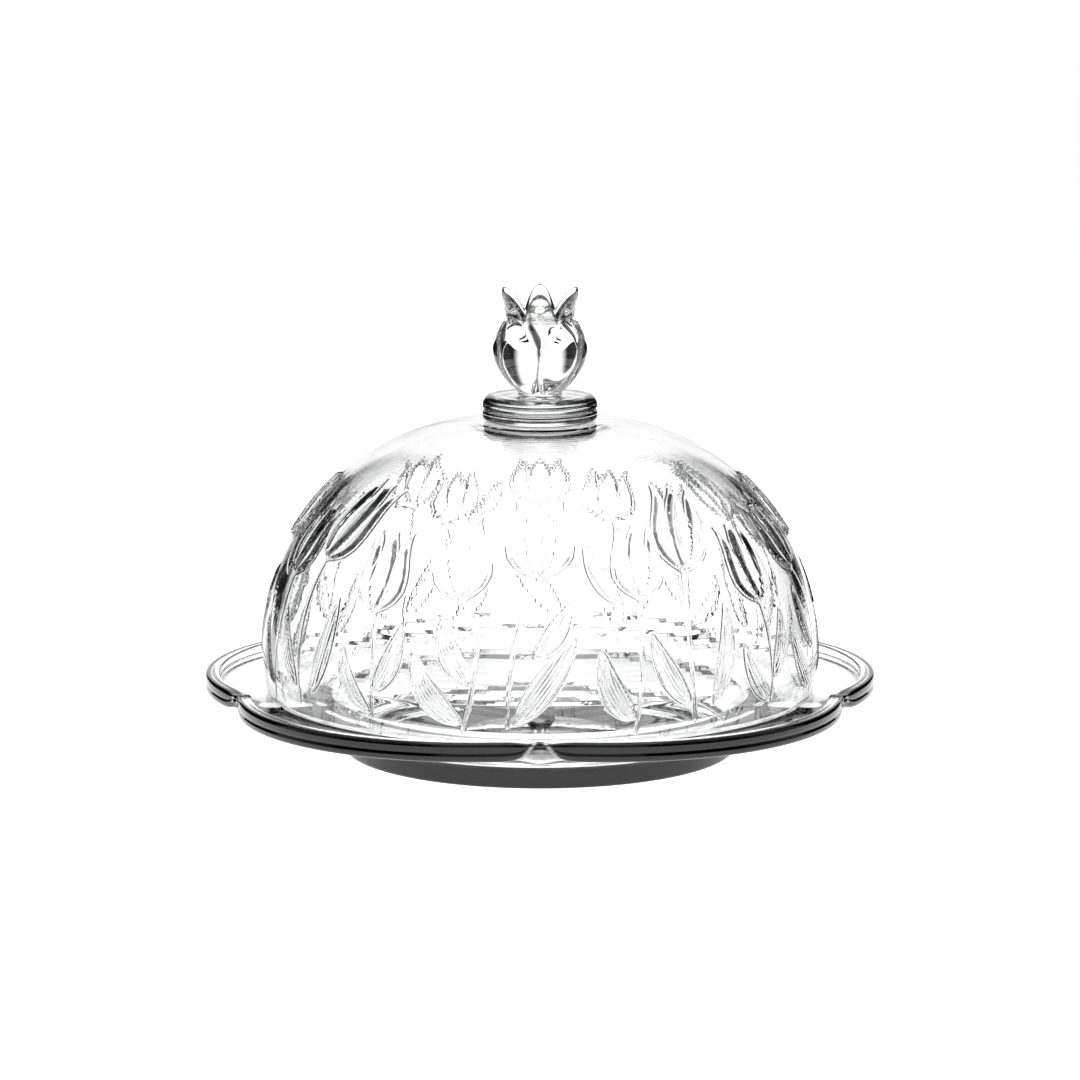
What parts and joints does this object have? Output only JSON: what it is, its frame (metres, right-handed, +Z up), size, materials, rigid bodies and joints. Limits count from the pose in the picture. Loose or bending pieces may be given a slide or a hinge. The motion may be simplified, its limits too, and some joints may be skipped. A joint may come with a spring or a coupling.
{
  "type": "cheese dome",
  "caption": "Colourless pressed-glass cheese dome: a bell cover with a tulip knob that lifts off a scalloped, footed plate with a sunk centre",
  "frame": {"origin": "Bottom centre of the bounding box, on the plane that the foot ring stands on.", "axes": "+Z up, the way the cover lifts. -Y is the front, with a cusp of the rim to the front and a lobe to the back. +X is to the right of someone facing the front."},
  "size_m": [0.2502, 0.2464, 0.1714],
  "materials": {
    "plate_glass": "fire-polished pressed colourless glass",
    "dome_glass": "fire-polished pressed colourless glass with low relief",
    "knob_glass": "fire-polished pressed colourless glass",
    "clear_bond": "clear cured adhesive film"
  },
  "bodies": {
    "plate": {"plate": "plate_glass"},
    "dome": {"dome": "dome_glass", "knob_bond": "clear_bond", "knob": "knob_glass"}
  },
  "joints": [
    {"name": "dome_lift", "type": "slide", "parent": "plate", "child": "dome", "axis": [0, 0, 1], "range_m": [0, 0.2]}
  ]
}
